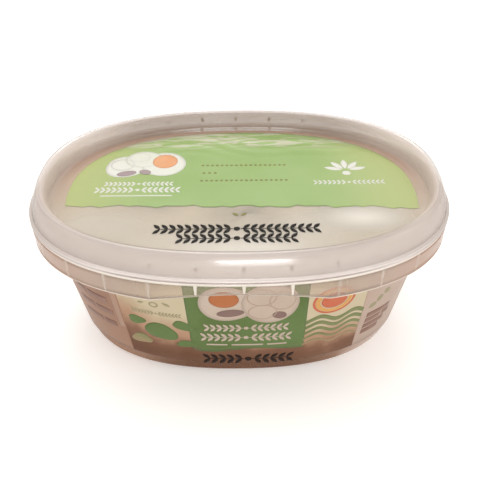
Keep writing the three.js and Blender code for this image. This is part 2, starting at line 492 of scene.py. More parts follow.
lidLook = {
    "roughness": 0.15,
    "mattRoughness": 0.6,
    "gloss": 0.9,
    "grainDepth": 0.002 * mm,
    "waveDepth": 0.04 * mm,
    "cloud": 0.03,
    # painted shade and light: clearColour is a darker tan for the inner walls and the panel's corner, as
    # shade; towards the ends warmColour makes them lighter, as painted light, and paleWarmColour darkens the
    # pale outer walls, as painted shade
    "clearColour": colour(160, 136, 119),
    "warmColour": colour(253, 238, 228),
    "paleColour": colour(242, 232, 226),
    "paleWarmColour": colour(206, 194, 186),
    "warmFrom": 36 * mm,
    "warmTo": 76 * mm,
    "hazeFrom": 30 * mm,
    "hazeTo": 76 * mm,
    "endHaze": 1.15,
}
lugShape = {
    "halfWidth": 0.55 * mm,
    "reach": 0.6 * mm,
    "low": 3.2 * mm,           # above the lid's lower edge
    "high": 5 * mm,
    "slant": 0.5 * mm,
    "inset": 2.15 * mm,
    "bevel": 0.15 * mm,
    "milk": 0.9,
    "pale": 0,
    "fadeFrom": 14 * mm,
    "fadeTo": 44 * mm,
    "leastFade": 0.12,
}


def lidProfile():
    # (inset, height, reach of the corner, milk, pale): the panel's underside, the hollow of the crest, the
    # edge, the ledge, the outer wall, the crest, the inner wall and the panel
    s = lidShape
    top = lidHigh[2]
    edgeTop, panelTop = lidLow[2] + s["edgeDepth"], top - s["panelSunk"]
    low = lidLow[2] - s["seat"]
    w = s["wall"]
    lowIn, lowDown = s["lowShoulder"]
    highIn, highDown = s["highShoulder"]
    edgeIn, edgeDown = s["innerEdge"]
    innerIn, innerDown = s["innerShoulder"]
    ledge, ridge, panelIn = s["ledge"], s["ridgeInset"], s["panelInset"]
    flat, corner, thin = s["panelMilk"], s["cornerMilk"], s["wallMilk"]
    crest, line, between = s["crestMilk"], s["lineMilk"], s["betweenMilk"]
    corners = [
        (panelIn + 5 * mm, panelTop - w, 0, flat, 0.6),
        (panelIn - 0.5 * w, panelTop - w, 1.2 * mm, corner, 0),
        (innerIn - w, top - innerDown - 0.5 * w, 0.8 * mm, thin, 0.1),
        (edgeIn - 0.4 * w, top - edgeDown - w, 0.5 * mm, thin, 0.2),
        (ridge + 0.3 * w, top - w, 0.6 * mm, thin, 0.6),
        (highIn + w, top - highDown - 0.6 * w, 1.0 * mm, thin, 0.6),
        (lowIn + w, top - lowDown, 1.6 * mm, thin, 0.5),
        (ledge + w, edgeTop - 0.2 * mm, 0.5 * mm, thin, 0.5),
        (ledge + w, low, 0.3 * mm, thin, 0.6),
        # the edge: its whiter lines are painted highlights, and the greyer band between them is painted shade
        # standing for the gap over the tub's flange
        (0, low, 0.1 * mm, line, 0.75),
        (0, low + 0.4 * mm, 0, line, 0.75),
        (0, low + 0.55 * mm, 0, between, 0.4),
        (0, low + 0.85 * mm, 0, between, 0.4),
        (0, edgeTop, 0.45 * mm, line, 0.9),
        (ledge - 0.1 * mm, edgeTop, 0.3 * mm, line, 0.9),
        (ledge + 0.05 * mm, edgeTop + 0.5 * mm, 0.2 * mm, thin, 0.7),
        (lowIn, top - lowDown, 1.6 * mm, thin, 0.66),
        (highIn, top - highDown, 1.3 * mm, thin, 0.66),
        # the crest: the whiter ridge is a painted highlight; the low pale of the inner edge, the inner wall
        # and the panel's corner, here and on the underside, is painted shade
        (ridge - 0.4 * mm, top - 0.15 * mm, 0, crest, 0.75),
        (ridge, top, 0.4 * mm, 0.7, 0.88),
        (ridge + 0.5 * mm, top - 0.06 * mm, 0.2 * mm, crest, 0.5),
        (edgeIn, top - edgeDown, 0.4 * mm, crest, 0.15),
        (innerIn, top - innerDown, 0.8 * mm, thin, 0.1),
        (panelIn, panelTop, 1.2 * mm, corner, 0),
        (panelIn + 2 * mm, panelTop, 0, flat, 0.1),
        (panelIn + 5 * mm, panelTop, 0, flat, 0.6),
    ]
    return refined(roundedProfile(corners), s["longestRun"])


def lidValues(rows, grid):
    # milk and pale at each point: the rows' own, drawn to lidFade's on parts of the edge and of the ridge,
    # which changes their painted highlights and shade
    s, f = lidShape, lidFade
    x, y = grid[..., 0], grid[..., 1]
    inset, height = rows[:, :1], rows[:, 1:2]
    onEdge = (inset < 0.1 * mm) & (height > lidLow[2]) & (height < lidLow[2] + s["edgeDepth"] - 0.1 * mm)
    onRidge = (np.abs(inset - s["ridgeInset"]) < 0.7 * mm) & (height > lidHigh[2] - 0.3 * mm)
    ends = ramp(np.abs(x), f["edgeFrom"], f["edgeTo"]) * onEdge
    dimmedRidgeHighlight = ramp(x, f["ridgeFrom"], f["ridgeTo"]) * ramp(y, f["ridgeHalf"], -f["ridgeHalf"]) * onRidge
    milk, pale = rows[:, 2:3] + 0 * x, rows[:, 3:4] + 0 * x
    milk = milk + (f["edgeMilk"] - milk) * ends
    pale = pale + (f["edgePale"] - pale) * ends
    return milk + (f["ridgeMilk"] - milk) * dimmedRidgeHighlight, pale + (f["ridgePale"] - pale) * dimmedRidgeHighlight


def makeLid():
    profile = lidProfile()
    shares = np.linspace(0.08, 1, 9)[:-1]
    grid = withDiscs(sweep(profile), shares)
    milk, pale = lidValues(withDiscValues(profile, shares), grid)
    return finishPiece(cappedSkin("lid", grid, milk=milk, pale=pale), "lid", lidPlastic, "lid")


def makeLidLugs():
    # small lugs inside the lid's outer wall, one over each rib
    s = lugShape
    low, high = lidLow[2] + s["low"], lidLow[2] + s["high"]
    corners = [
        (0, s["halfWidth"], high),
        (s["reach"], s["halfWidth"], high - s["slant"]),
        (s["reach"] * 0.6, s["halfWidth"] * 0.8, low),
        (0, s["halfWidth"] * 0.8, low),
    ]
    lugs = aroundBlocks("lidLugs", ribShares, s["inset"], corners, s["bevel"])
    return finishBlocks(lugs, "lid", lidPlastic, s)


ribShift = 1.2 * mm            # the ribs start this far round from the middle of the front
ribShares = np.arange(oval["ribs"]) / oval["ribs"] + ribShift / perimeterAt(0)
lidPlastic = makePlastic("lidPlastic", lidLook)
makeLid()
makeLidLugs()


# Tub

tubShape = {
    "flangeThickness": 1.1 * mm,
    "skirtInset": 0.16 * mm,
    "skirtDepth": 8.7 * mm,
    "skirtWall": 0.9 * mm,
    "archRise": 4.3 * mm,
    "archHalfWidth": 30 * mm,
    "wallTopInset": 5.8 * mm,
    "wallSlope": 0.159,
    "wall": 1 * mm,
    "floorThickness": 1.2 * mm,
    "cornerReach": 6.3 * mm,
    "footInset": 31 * mm,
    "footReach": 9 * mm,       # from the foot's inset to where the discs start
    "footHeight": 0.8 * mm,
    "longestRun": 1.5 * mm,
    "wallMilk": 0.07,
    "lowMilk": 0.3,
    "skirtMilk": 0.2,
    "skirtPale": 0.3,
    "lineMilk": 0.82,
    "flangeMilk": 0.4,
}
# painted light: the tub's lower corner is made whiter at its right end, where light from the right falls
tubCorner = {
    "pale": 0.35,              # added at the right end of the lower corner
    "rightFrom": 38 * mm,
    "rightTo": 60 * mm,
    "high": 12 * mm,
    "low": 9 * mm,
}
ribShape = {
    "reach": 3.2 * mm,
    "lowReach": 0.9 * mm,
    "topHalfWidth": 0.65 * mm,
    "lowHalfWidth": 0.35 * mm,
    "shortOfEdge": 0.6 * mm,
    "proud": 0.04 * mm,        # of the skirt's outer face
    "bevel": 0.18 * mm,
    "milk": 0.72,
    "pale": 1,
    "fadeFrom": 17 * mm,
    "fadeTo": 33 * mm,
    "leastFade": 0.12,
}
tubLook = {
    "roughness": 0.15,
    "mattRoughness": 0.2,
    "gloss": 0.35,
    "grainDepth": 0.002 * mm,
    "waveDepth": 0.04 * mm,
    "cloud": 0.03,
    # clearColour is a brown that shows most on the lower corner, where it is painted shade
    "clearColour": colour(152, 118, 98),
    "warmColour": colour(148, 102, 72),
    "paleColour": colour(236, 227, 214),
    "paleWarmColour": colour(238, 216, 200),
    "warmFrom": 40 * mm,
    "warmTo": 76 * mm,
    "hazeFrom": 16 * mm,
    "hazeTo": 56 * mm,
    "endHaze": 4.2,
}
flangeUnderside = flangeTop - tubShape["flangeThickness"]


def wallInset(height):
    # inset = top inset + slope (flange underside - height)
    return tubShape["wallTopInset"] + tubShape["wallSlope"] * (flangeUnderside - height)


def skirtStretch(x):
    # share of the skirt's full depth at x: 1 - rise (1 - (x / half width)^2) / depth, and 1 outside the arch
    arch = np.maximum(0, 1 - (x / tubShape["archHalfWidth"]) ** 2)
    return 1 - tubShape["archRise"] * arch / tubShape["skirtDepth"]


def tubProfile():
    # (inset, height, reach of the corner, milk, pale): the foot, the wall, the skirt's inside and outside,
    # the flange, and down the inside to the floor
    s = tubShape
    outer, wallTop, inner = s["skirtInset"], s["wallTopInset"], s["wall"]
    skirtInner = outer + s["skirtWall"]
    skirtLow = flangeTop - s["skirtDepth"]
    foot, step, reach = s["footInset"], s["footHeight"], s["footReach"]
    floorTop = s["floorThickness"]
    thin, low, flange = s["wallMilk"], s["lowMilk"], s["flangeMilk"]
    skirt, skirtPale, line = s["skirtMilk"], s["skirtPale"], s["lineMilk"]
    corners = [
        (foot + reach, step, 0, low, 0),
        (foot + 2.2 * mm, step, 0.8 * mm, low, 0),
        (foot + 1.2 * mm, 0, 0.5 * mm, low, 0),
        (wallInset(0), 0, s["cornerReach"], low, 0),
        (wallTop, flangeUnderside, 0.7 * mm, thin, 0.3),
        (skirtInner, flangeUnderside, 0.5 * mm, flange, 0.5),
        (skirtInner, flangeUnderside - 0.7 * mm, 0, skirt, skirtPale),
        (skirtInner, skirtLow + 0.7 * mm, 0, skirt, skirtPale),
        # the skirt's lower edge and the top of its outside are whiter lines: partly the plastic's own
        # milkiness at an edge, partly painted highlight
        (skirtInner, skirtLow, 0.35 * mm, line, 0.9),
        (outer, skirtLow, 0.4 * mm, line, 0.9),
        (outer, skirtLow + 0.8 * mm, 0, skirt, skirtPale),
        (outer, flangeTop - 0.9 * mm, 0, skirt, skirtPale),
        (outer, flangeTop - 0.6 * mm, 0, line, 1),
        (outer, flangeTop, 0.1 * mm, line, 1),
        (outer + 1.4 * mm, flangeTop, 0, flange, 0.5),
        (wallTop + inner, flangeTop, 0.4 * mm, flange, 0),
        (wallInset(floorTop) + inner, floorTop, s["cornerReach"] - inner, thin, 0),
        (foot + reach, floorTop + step * 0.5, 0, thin, 0),
    ]
    return refined(roundedProfile(corners, 6), s["longestRun"])


def makeTub():
    # the skirt's rows keep their share of its depth, so its lower edge follows the arch
    profile = tubProfile()
    grid = sweep(profile)
    onSkirt = (profile[:, 0] < 1.5 * mm) & (profile[:, 1] < flangeUnderside)
    drop = flangeTop - grid[onSkirt, :, 2]
    grid[onSkirt, :, 2] = flangeTop - drop * skirtStretch(grid[onSkirt, :, 0])
    shares = np.linspace(0.1, 1, 8)[:-1]
    grid = withDiscs(grid, shares)
    rows = withDiscValues(profile, shares)
    # painted light at the right end of the lower corner
    c = tubCorner
    paintedLightRight = ramp(grid[..., 0], c["rightFrom"], c["rightTo"]) * ramp(grid[..., 2], c["high"], c["low"])
    tub = cappedSkin("tub", grid, milk=rows[:, 2], pale=rows[:, 3:4] + c["pale"] * paintedLightRight)
    return finishPiece(tub, "tub", tubPlastic, "tub")


def makeRibs():
    # ribs from the flange down, through the skirt and inwards, narrower and shallower towards its lower edge
    s, t = ribShape, tubShape
    inset = t["skirtInset"] - s["proud"]
    x = ovalXY(turnsAlong(ribShares, inset), inset)[0]
    top = flangeTop - t["flangeThickness"] * 0.5
    low = flangeTop - t["skirtDepth"] * skirtStretch(x) + s["shortOfEdge"]
    corners = [
        (0, s["topHalfWidth"], top),
        (s["reach"], s["topHalfWidth"], top),
        (s["lowReach"], s["lowHalfWidth"], low),
        (0, s["lowHalfWidth"], low),
    ]
    ribs = aroundBlocks("skirtRibs", ribShares, inset, corners, s["bevel"])
    return finishBlocks(ribs, "tub", tubPlastic, s)


tubPlastic = makePlastic("tubPlastic", tubLook)
makeTub()
makeRibs()


# Cheese: every knot is a fat lobe, and each upper one has a narrower strand slanting over it.

cheeseShape = {
    "halfLength": 22.5 * mm,
    "halfWidth": 17 * mm,
    "halfHeight": 17 * mm,
    "strandHalfWidth": 9.5 * mm,
    "strandOverlap": 1.4 * mm,
    "strandSlant": -24,
    "poleGap": 1.45,           # radians up and down that a lobe's rows reach, short of its poles
    "voxel": 0.9 * mm,
}
lowerKnots = [                 # the middle in millimetres and the turn in degrees
    {"x": -39, "y": 4, "z": 19.5, "turn": 80},
    {"x": -12, "y": -19, "z": 19.5, "turn": 10},
    {"x": -10, "y": 19, "z": 19.5, "turn": -12},
    {"x": 24, "y": -19, "z": 19.5, "turn": -14},
    {"x": 25, "y": 19, "z": 19.5, "turn": 16},
    {"x": 44, "y": 0, "z": 19.5, "turn": 92},
]
upperKnots = [
    {"x": -31, "y": -3, "z": 41.5, "turn": 35},
    {"x": 2, "y": -18, "z": 41.5, "turn": -20},
    {"x": 9, "y": 18, "z": 41.5, "turn": 12},
    {"x": 40, "y": -12, "z": 41.5, "turn": 40},
]
curdLook = {
    "roughness": 0.3,
    "subsurface": 0.15,
    "subsurfaceDepth": 4 * mm,
    "subsurfaceRadius": (1.0, 0.8, 0.6),
    "colour": colour(247, 240, 226),
    "shadeColour": colour(235, 224, 203),
    "grainDepth": 0.05 * mm,
    "waveDepth": 0.5 * mm,
    "grainSize": 350.0,
}


def cheeseLobes():
    # (middle, half sizes, turn in radians) of every lobe
    s = cheeseShape
    over = s["strandOverlap"]
    plain = (s["halfLength"], s["halfWidth"], s["halfHeight"])
    strand = (s["strandHalfWidth"], s["halfWidth"] + over, s["halfHeight"] + over)
    kinds = [(lowerKnots + upperKnots, plain, 0), (upperKnots, strand, s["strandSlant"])]
    return [((k["x"] * mm, k["y"] * mm, k["z"] * mm), sizes, math.radians(k["turn"] + slant))
            for knots, sizes, slant in kinds for k in knots]


def lobeGrid(middle, sizes, angle):
    # ellipsoid: (L cos u cos v, W sin u cos v, H sin v), turned about Z and moved to its middle
    gap = cheeseShape["poleGap"]
    u, v = np.meshgrid(np.linspace(0, 2 * math.pi, 32, endpoint=False), np.linspace(-gap, gap, 17))
    x = sizes[0] * np.cos(u) * np.cos(v)
    y = sizes[1] * np.sin(u) * np.cos(v)
    c, s = math.cos(angle), math.sin(angle)
    return np.stack([x * c - y * s, x * s + y * c, sizes[2] * np.sin(v)], -1) + middle


def makeCheese():
    # all the lobes in one mesh, made one skin by the remesh and softened where they meet
    points, quads, triangles = [], [], []
    for number, lobe in enumerate(cheeseLobes()):
        grid = lobeGrid(*lobe)
        points.append(cappedPoints(grid))
        faces = cappedFaces(*grid.shape[:2], number * len(points[0]))
        quads.append(faces[0])
        triangles.append(faces[1])
    cheese = fillMesh("cheeseKnots", np.vstack(points), np.vstack(quads), np.vstack(triangles))
    voxel = cheeseShape["voxel"]
    addModifier(cheese, "fuse", "REMESH", mode="VOXEL", voxel_size=voxel, use_smooth_shade=True)
    addModifier(cheese, "soften", "SMOOTH", factor=0.5, iterations=4)
    flatten(cheese)
    look = curdLook
    finish, tree, shader = newMaterial(
        "curd", look["roughness"], IOR=1.4, Subsurface_Weight=look["subsurface"],
        Subsurface_Scale=look["subsurfaceDepth"], Subsurface_Radius=look["subsurfaceRadius"])
    mask = addGrain(tree, shader, look["grainDepth"], look["waveDepth"], look["grainSize"])
    feedInputs(tree, shader, Base_Color=mixColours(tree, mask, look["colour"], look["shadeColour"]))
    return finishPiece(cheese, "cheese", finish, "cheese_knots")


# Brine

brineShape = {
    "level": 61 * mm,
    "intoWall": 0.85 * mm,
    "climb": 0.02 * mm,
    "cloudDepth": 3.5 * mm,    # brine this deep hides most of what is under it
    "leastCloud": 0.2,
    "sideCloud": 0.92,
    # the browner rim near the wall at the back is painted shade
    "rimReach": 15 * mm,       # towards the back, brine this near the wall is browner and hides more
    "rimMilk": 0.85,
    "backHalf": 20 * mm,
    "rings": 60,
}
brineLook = {
    # painted shade: the brine darkens downwards from the level to a dark brown at lowHeight
    "lowShadeColour": colour(98, 62, 44),
    "highColour": colour(206, 192, 168),
    "lowHeight": 25 * mm,
    "rimColour": colour(190, 138, 102),
}


def cheeseHeight(x, y):
    # the tops of the lobes: z + H sqrt(1 - (a / L)^2 - (b / W)^2), with a and b along and across each lobe
    heights = np.zeros_like(x)
    for middle, sizes, angle in cheeseLobes():
        dx, dy = x - middle[0], y - middle[1]
        a = (dx * math.cos(angle) + dy * math.sin(angle)) / sizes[0]
        b = (dy * math.cos(angle) - dx * math.sin(angle)) / sizes[1]
        inside = np.clip(1 - a**2 - b**2, 0, 1)
        heights = np.maximum(heights, np.where(inside > 0, middle[2] + sizes[2] * np.sqrt(inside), 0))
    return heights


def makeBrine():
    # the tub's inside, drawn a little into its wall, with a level top that climbs slightly at the wall
    s, t, look = brineShape, tubShape, brineLook
    inner = t["wall"] - s["intoWall"]
    low = t["floorThickness"] - s["intoWall"]
    level = s["level"]
    middle = t["footInset"] + t["footReach"]
    corners = [
        (middle, low, 0, 0),
        (wallInset(low) + inner, low, t["cornerReach"] - inner, 0),
        (wallInset(level) + inner, level + s["climb"], 0.3 * mm, 0),
        (wallInset(level) + inner + 2 * mm, level, 1.5 * mm, 0),
        (middle, level, 0, 0),
    ]
    shares = np.linspace(0.02, 1, s["rings"])[:-1]
    grid = withDiscs(sweep(refined(roundedProfile(corners), 2 * mm)), shares)
    x, y, z = grid[..., 0], grid[..., 1], grid[..., 2]
    depth = np.maximum(0, z - cheeseHeight(x, y))
    topCloud = 1 - (1 - s["leastCloud"]) * np.exp(-depth / s["cloudDepth"])
    cloud = np.where(z > level - 0.5 * mm, topCloud, s["sideCloud"])
    fromRim = (1 - ovalReach(x, y, wallInset(level)) ** (1 / oval["power"])) * oval["halfWidth"]
    # the rim's share, where painted shade makes the brine browner
    rim = ramp(fromRim, s["rimReach"], 0) * ramp(y, -s["backHalf"], s["backHalf"])
    brine = cappedSkin("brine", grid, milk=np.maximum(cloud, s["rimMilk"] * rim), rim=rim)
    finish, tree, shader = newMaterial("cloudyBrine", 0.3, Specular_IOR_Level=0.0)
    # painted shade: the brine darkens to brown towards the bottom, and near the wall at the back it is
    # browner
    upwards = mapRange(tree, partsOf(tree, objectPlace(tree))["Z"], look["lowHeight"], level)
    wheyAndShade = mixColours(tree, upwards, look["lowShadeColour"], look["highColour"])
    feedInputs(tree, shader, Alpha=attributeValue(tree, "milk"),
               Base_Color=mixColours(tree, attributeValue(tree, "rim"), wheyAndShade, look["rimColour"]))
    return finishPiece(brine, "cheese", finish)


makeCheese()
makeBrine()


# Prints. A shape is a grid of flat points in millimetres, laid on the film as (x, y) or on the label as
# (along, height), and each ink's shapes are one piece.

printSkin = {
    "thickness": 0.01 * mm,
    "weld": 0.004 * mm,
    "roughness": 0.38,
    "grainDepth": 0.003 * mm,
    "waveDepth": 0.03 * mm,
    "blotchSize": 90.0,        # noise patches for each metre
    "blotchReach": 3 * mm,     # how far they move the edge of an ink's painted shade band up and down
}
stripeShape = {
    "count": 5,
    "start": 2,                # millimetres along before the wave first rises
    "pitch": 3.4,
    "rise": 1.4,
    "turns": 0.48,             # radians for each millimetre along
    "halfWidth": 1.15,
    "thinning": 0.12,          # of the half width, for each stripe down
}


def waveSum(x, waves):
    # sum of size sin(turns x + phase)
    return sum(size * np.sin(turns * x + phase) for size, turns, phase in waves)


def turned(x, y, a, b, turn):
    # (a, b) turned by the degrees and moved to (x, y)
    c, s = math.cos(math.radians(turn)), math.sin(math.radians(turn))
    return np.stack([x + a * c - b * s, y + a * s + b * c], -1)


def blob(x, y, width, height, turn=0, lumps=(), hole=0.0, steps=48):
    # outline r(a) = 1 + sum of size cos(k a + phase) on an ellipse, filled from the hole's share to the edge
    share, angle = np.meshgrid(np.linspace(hole, 1, 6), np.linspace(0, 2 * math.pi, steps), indexing="ij")
    radius = share * (1 + sum(size * np.cos(k * angle + phase) for k, size, phase in lumps))
    return turned(x, y, radius * np.cos(angle) * width / 2, radius * np.sin(angle) * height / 2, turn)


def leaf(x, y, length, width, turn):
    # a pointed leaf: half width w sin(pi t)^0.9 along its length
    t, side = np.meshgrid(np.linspace(0, 1, 9), np.linspace(-1, 1, 4), indexing="ij")
    return turned(x, y, (t - 0.5) * length, side * 0.5 * width * np.sin(math.pi * t) ** 0.9, turn)


def ribbon(x, y, halfHeight):
    # a band along a row of points
    side = np.linspace(-1, 1, 4)
    return np.stack([x[:, None] + 0 * side, y[:, None] + side * halfHeight], -1)


def strip(fromX, toX, y, halfHeight, steps=60):
    # a level band
    return ribbon(np.linspace(fromX, toX, steps), np.full(steps, y), halfHeight)


def branch(x, y, length, leafLength, leafWidth, pairs, tilt=48):
    # two stems from a berry in the middle, each with pairs of leaves that lean outwards
    shapes = [blob(x, y, leafWidth * 1.5, leafWidth * 1.5, steps=16)]
    pitch = length / 2 / (pairs + 0.5)
    rise = 0.5 * leafLength * math.sin(math.radians(tilt))
    run = 0.5 * leafLength * math.cos(math.radians(tilt))
    for side in (-1, 1):
        ends = sorted((x + side * pitch * 0.5, x + side * (length / 2 - run)))
        shapes.append(strip(*ends, y, 0.12 * leafWidth))
        for k in range(pairs):
            leafX = x + side * pitch * (k + 0.8) + side * run
            for way in (-1, 1):
                shapes.append(leaf(leafX, y + way * rise, leafLength, leafWidth, side * way * tilt))
    return shapes


def dots(x, y, length, size, count):
    # a row of small round dots
    places = x + (np.arange(count) - (count - 1) / 2) * (length / count)
    return [blob(place, y, size, size, steps=12) for place in places]


def bars(x, top, pitch, rows, height):
    # rows of plain bars; each row's numbers are bars and, as negatives, the gaps between them
    shapes = []
    for row, lengths in enumerate(rows):
        start = x
        for length in lengths:
            if length > 0:
                shapes.append(strip(start, start + length, top - row * pitch, height / 2, 12))
            start += abs(length)
    return shapes


def wavyStripes(fromX, toX, top):
    # stripe k: y = top - k pitch + rise sin(turns (x - from - start)), all in step
    s = stripeShape
    x = np.linspace(fromX, toX, 60)
    wave = top + s["rise"] * np.sin((x - fromX - s["start"]) * s["turns"])
    return [ribbon(x, wave - k * s["pitch"], s["halfWidth"] * (1 - s["thinning"] * k))
            for k in range(s["count"])]


def panel(low, high, left, right, waves=(), steps=40):
    # a panel between two slanted sides, each its x at the foot and at the top; the waves bend its lower edge
    v, u = np.meshgrid(np.linspace(0, 1, 16), np.linspace(0, 1, steps), indexing="ij")
    leftX = left[0] + (left[1] - left[0]) * v
    rightX = right[0] + (right[1] - right[0]) * v
    x = leftX + (rightX - leftX) * u
    bottom = low + waveSum(x, waves)
    return np.stack([x, bottom + (high - bottom) * v], -1)


def layPrint(name, grids, onto, lift):
    # all the grids of one ink, carried onto the film or label and given a skin's thickness
    points, quads = [], []
    offset = 0
    for grid in grids:
        rows, steps = grid.shape[:2]
        points.append(onto(grid[..., 0] * mm, grid[..., 1] * mm, lift * mm).reshape(-1, 3))
        quads.append(gridFaces(rows, steps, False, offset))
        offset += rows * steps
    piece = fillMesh(name, np.vstack(points), np.vstack(quads))
    addModifier(piece, "weld", "WELD", merge_threshold=printSkin["weld"])
    addModifier(piece, "skin", "SOLIDIFY", thickness=printSkin["thickness"], offset=0)
    flatten(piece)
    return piece


def layPrints(slotName, onto, prints):
    # each print is (its piece's name, ink, lift in millimetres, shapes)
    for name, ink, lift, shapes in prints:
        finishPiece(layPrint(name, shapes, onto, lift), slotName, ink)


def inkMaterial(name, ink, thinInk, amount=0.5, patchSize=45.0, gloss=0.14, alpha=1.0):
    finish, tree, shader = newMaterial(name, printSkin["roughness"], Specular_IOR_Level=gloss, Alpha=alpha)
    feedInputs(tree, shader, Base_Color=inkColour(tree, ink, thinInk, amount, patchSize))
    addGrain(tree, shader, printSkin["grainDepth"], printSkin["waveDepth"])
    return finish


def blotchShift(tree, place, size, detail, reach):
    # noise patches as a shift, from minus the reach to the reach
    noise = addNode(tree, "ShaderNodeTexNoise", Vector=place, Scale=size, Detail=detail)
    return mapRange(tree, noise.outputs["Fac"], 0.3, 0.7, -reach, reach, smooth=False)


def inkIntoShadeBand(name, ink, thinInk, shadeBandInk, fadeFrom, fadeTo, **settings):
    # an ink in a brown of the painted shade band up to one height and in its own colour from another, with a
    # blotchy edge; the heights are in millimetres
    finish = inkMaterial(name, ink, thinInk, **settings)
    tree = finish.node_tree
    shader = tree.nodes["Principled BSDF"]
    printed = shader.inputs["Base Color"].links[0].from_socket
    place = objectPlace(tree)
    shift = blotchShift(tree, place, printSkin["blotchSize"], 3.0, printSkin["blotchReach"])
    height = arithmetic(tree, "ADD", partsOf(tree, place)["Z"], shift)
    share = mapRange(tree, height, fadeFrom * mm, fadeTo * mm)
    feedInputs(tree, shader, Base_Color=mixColours(tree, share, colour(*shadeBandInk), printed))
    return finish


# Sealing film

filmShape = {
    "inset": oval["halfLength"] - filmHigh[0],
    "thickness": 0.12 * mm,
    "level": filmLow[2] + 0.08 * mm,
    "sealInset": 6.4 * mm,
    "freeReach": 0.75,         # the relief is whole up to this reach in the seal's oval
    "sag": 0.1 * mm,
    "sagTurns": (95, 70, 80),  # radians for each metre
    "creaseHeight": 0.22 * mm,
    "creaseFrom": 22 * mm,
    "creaseTo": 36 * mm,
    "creaseTurns": (900, 60, 143),
    "leastMilk": 0.16,
}
greenShape = {                 # in millimetres
    "halfLength": 67.8,
    "halfWidth": 47.7,
    "shift": 0.9,
    "front": -12.1,
    "slope": -0.018,
    "dip": 0.9,                # of the front edge, near its right end
    "dipFrom": 45,
    "dipTo": 65,
    "ripples": ((0.35, 0.64, 0), (0.45, 0.27, 0.8), (0.2, 1.13, 2)),
}
greenLook = {
    "roughness": 0.3,
    "ink": (148, 179, 97),
    "thinInk": (163, 190, 118),
    "endColour": colour(186, 197, 126),
    "endFrom": 25 * mm,
    "endTo": 68 * mm,
    # the pale crease streaks are painted reflections
    "creaseReflectionColour": colour(206, 204, 176),
    "creaseFrom": 31 * mm,
    "creaseTo": 37 * mm,
    "creaseSize": (46.0, 300.0, 1.0),
    "creaseMask": (0.47, 0.57),
    "creaseShare": 0.9,
    "grainDepth": 0.003 * mm,
    "waveDepth": 0.08 * mm,
}
wetPatches = [                 # where the film lies on wet cheese: middle and reach in millimetres, and milk
    {"x": 46, "y": -20, "along": 14, "across": 7, "milk": 0.9},
    {"x": 2, "y": -38, "along": 30, "across": 8, "milk": 0.62},
    {"x": -50, "y": -24, "along": 18, "across": 10, "milk": 0.45},
    {"x": 24, "y": -24, "along": 12, "across": 8, "milk": 0.4},
    {"x": -27, "y": -33, "along": 14, "across": 6, "milk": 0.35},
]


def filmRelief(x, y):
    # level + soft dips of two crossing waves, and sharper creases near the back, all fading out at the seal
    s = filmShape
    free = ramp(ovalReach(x, y, s["sealInset"]), 1, s["freeReach"])
    t = s["sagTurns"]
    dips = 0.5 + 0.5 * np.sin(x * t[0] + 1.3 * np.sin(y * t[1])) * np.cos(y * t[2] + 0.6)
    backward = ramp(y, s["creaseFrom"], s["creaseTo"])
    t = s["creaseTurns"]
    creases = np.sin(y * t[0] + 5 * np.sin(x * t[1]) + 2 * np.sin(x * t[2] + 1)) * 0.5 + 0.5
    return s["level"] + free * (s["sag"] * dips + s["creaseHeight"] * backward * creases**2)


def onFilm(x, y, lift):
    # height = the film's relief + its thickness + lift
    return np.stack([x, y, filmRelief(x, y) + filmShape["thickness"] + lift], -1)


def makeFilm():
    # rings of the oval drawn in towards the axis, over and under, both lifted by the relief
    s = filmShape
    edge = sweep(np.array([[s["inset"], 0, 0]]))[0]
    under = discRows(edge, np.linspace(0.015, 1, 70))
    over = under[::-1].copy()
    under[..., 2] = filmRelief(under[..., 0], under[..., 1])
    over[..., 2] = filmRelief(over[..., 0], over[..., 1]) + s["thickness"]
    grid = np.concatenate([under, over])
    milk = np.full(grid.shape[:2], s["leastMilk"])
    for patch in wetPatches:
        along = (grid[..., 0] / mm - patch["x"]) / patch["along"]
        across = (grid[..., 1] / mm - patch["y"]) / patch["across"]
        share = np.exp(-(along**2 + across**2))
        milk = milk + (patch["milk"] - milk) * share * (patch["milk"] > milk)
    film = cappedSkin("sealFilm", grid, milk=milk)
    finish, tree, shader = newMaterial("clearFilm", 0.2, IOR=1.5, Specular_IOR_Level=0.4)
    feedInputs(tree, shader, Alpha=attributeValue(tree, "milk"),
               Base_Color=inkColour(tree, (246, 239, 226), (238, 228, 212)))
    return finishPiece(film, "seal_film", finish, "seal_film")


def greenField(steps=260):
    # from the wavy front edge to the print's oval edge, column by column round the back of the oval
    s = greenShape
    shift = s["shift"]
    startTurn = -math.asin((-s["front"] / s["halfWidth"]) ** (oval["power"] / 2))
    share = np.linspace(0, 1, steps)
    turn = startTurn + (math.pi - 2 * startTurn) * share
    edgeX = s["halfLength"] * signedPower(np.cos(turn)) + shift
    edgeY = s["halfWidth"] * signedPower(np.sin(turn))
    frontX = shift + (edgeX[0] - shift) * np.cos(math.pi * share)
    slope = s["slope"] * frontX - s["dip"] * ramp(frontX, s["dipFrom"], s["dipTo"])
    frontY = s["front"] + slope + waveSum(frontX, s["ripples"])
    v = np.linspace(0, 1, 50)[:, None]
    return np.stack([frontX + (edgeX - frontX) * v, frontY + (edgeY - frontY) * v], -1)


